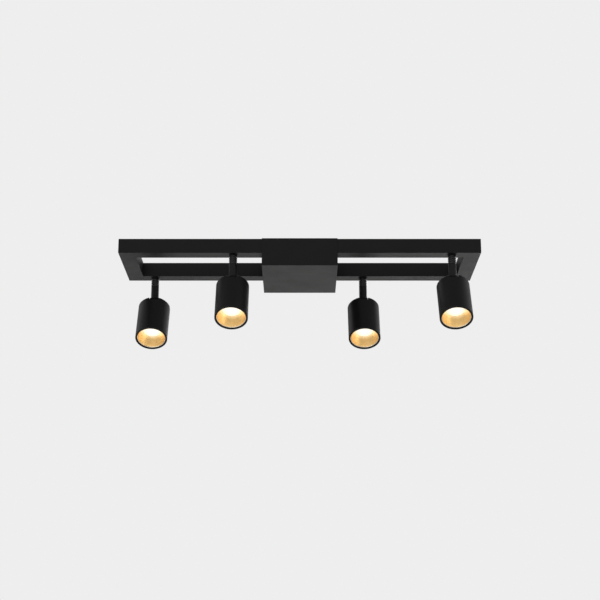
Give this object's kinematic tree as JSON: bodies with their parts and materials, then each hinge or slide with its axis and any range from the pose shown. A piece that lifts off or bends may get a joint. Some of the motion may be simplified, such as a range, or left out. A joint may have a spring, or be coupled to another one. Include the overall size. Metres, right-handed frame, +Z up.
{
  "type": "ceiling spot track light",
  "caption": "Black ceiling light with a rectangular tube frame, a central canopy box and cylindrical spot heads that pan and tilt on swivel stems.",
  "frame": {"origin": "centre of the ceiling bracket's bolt pattern, on the ceiling plane", "axes": "+X along the long rails, -Y towards the front, which the spots point to, +Z up into the ceiling"},
  "size_m": [0.6, 0.211, 0.156],
  "materials": {
    "black_frame": "fine-textured matt black powder coat",
    "black_head": "satin black powder coat",
    "black_swivel": "satin black coated steel",
    "black_bezel": "matt black",
    "gold_reflector": "satin gold-anodised spun reflector",
    "lit_lens": "frosted diffuser, lit warm white",
    "aluminium": "cast, bead-blasted",
    "zinc_steel": "zinc-plated sheet steel",
    "screw_steel": "plated steel fastener",
    "black_screw": "blackened steel fastener",
    "driver_case": "moulded white housing",
    "terminal_plastic": "moulded natural polyamide",
    "grommet_rubber": "moulded black rubber",
    "board": "white-coated metal-core board",
    "lead_sheath": "white silicone sheath",
    "spring_steel": "phosphated spring steel"
  },
  "bodies": {
    "root": {"front_rail": "black_frame", "back_rail": "black_frame", "left_rail": "black_frame", "right_rail": "black_frame", "canopy_cover": "black_frame", "ceiling_bracket": "zinc_steel", "front_saddle": "zinc_steel", "back_saddle": "zinc_steel", "saddle_screws": "screw_steel", "cover_screws": "black_screw", "led_driver": "driver_case", "driver_screws": "screw_steel", "terminal_block": "terminal_plastic", "earth_stud": "screw_steel", "cable_grommet": "grommet_rubber", "front_leads": "lead_sheath", "back_leads": "lead_sheath", "swivel_nuts": "zinc_steel", "swivel_collar_1": "black_swivel", "swivel_collar_2": "black_swivel", "swivel_collar_3": "black_swivel", "swivel_collar_4": "black_swivel"},
    "stem_1_body": {"stem_1": "black_swivel", "retaining_clip_1": "spring_steel"},
    "head_1_body": {"head_shell_1": "black_head", "pivot_screw_1": "black_screw", "bezel_1": "black_bezel", "reflector_1": "gold_reflector", "lens_1": "lit_lens", "led_board_1": "board", "heat_sink_1": "aluminium"},
    "stem_2_body": {"stem_2": "black_swivel", "retaining_clip_2": "spring_steel"},
    "head_2_body": {"head_shell_2": "black_head", "pivot_screw_2": "black_screw", "bezel_2": "black_bezel", "reflector_2": "gold_reflector", "lens_2": "lit_lens", "led_board_2": "board", "heat_sink_2": "aluminium"},
    "stem_3_body": {"stem_3": "black_swivel", "retaining_clip_3": "spring_steel"},
    "head_3_body": {"head_shell_3": "black_head", "pivot_screw_3": "black_screw", "bezel_3": "black_bezel", "reflector_3": "gold_reflector", "lens_3": "lit_lens", "led_board_3": "board", "heat_sink_3": "aluminium"},
    "stem_4_body": {"stem_4": "black_swivel", "retaining_clip_4": "spring_steel"},
    "head_4_body": {"head_shell_4": "black_head", "pivot_screw_4": "black_screw", "bezel_4": "black_bezel", "reflector_4": "gold_reflector", "lens_4": "lit_lens", "led_board_4": "board", "heat_sink_4": "aluminium"}
  },
  "joints": [
    {"name": "pan_1", "type": "hinge", "parent": "root", "child": "stem_1_body", "pos_m": [-0.2527, 0.0645, -0.077], "axis": [0, 0, 1], "range_deg": [-175, 175]},
    {"name": "tilt_1", "type": "hinge", "parent": "stem_1_body", "child": "head_1_body", "pos_m": [-0.2527, 0.0645, -0.077], "axis": [-1, 0, 0], "range_deg": [-28.5, 61.5]},
    {"name": "pan_2", "type": "hinge", "parent": "root", "child": "stem_2_body", "pos_m": [-0.1105, -0.0645, -0.077], "axis": [0, 0, 1], "range_deg": [-175, 175]},
    {"name": "tilt_2", "type": "hinge", "parent": "stem_2_body", "child": "head_2_body", "pos_m": [-0.1105, -0.0645, -0.077], "axis": [-1, 0, 0], "range_deg": [-28.5, 61.5]},
    {"name": "pan_3", "type": "hinge", "parent": "root", "child": "stem_3_body", "pos_m": [0.1105, 0.0645, -0.077], "axis": [0, 0, 1], "range_deg": [-175, 175]},
    {"name": "tilt_3", "type": "hinge", "parent": "stem_3_body", "child": "head_3_body", "pos_m": [0.1105, 0.0645, -0.077], "axis": [-1, 0, 0], "range_deg": [-28.5, 61.5]},
    {"name": "pan_4", "type": "hinge", "parent": "root", "child": "stem_4_body", "pos_m": [0.2527, -0.0645, -0.077], "axis": [0, 0, 1], "range_deg": [-175, 175]},
    {"name": "tilt_4", "type": "hinge", "parent": "stem_4_body", "child": "head_4_body", "pos_m": [0.2527, -0.0645, -0.077], "axis": [-1, 0, 0], "range_deg": [-28.5, 61.5]}
  ]
}
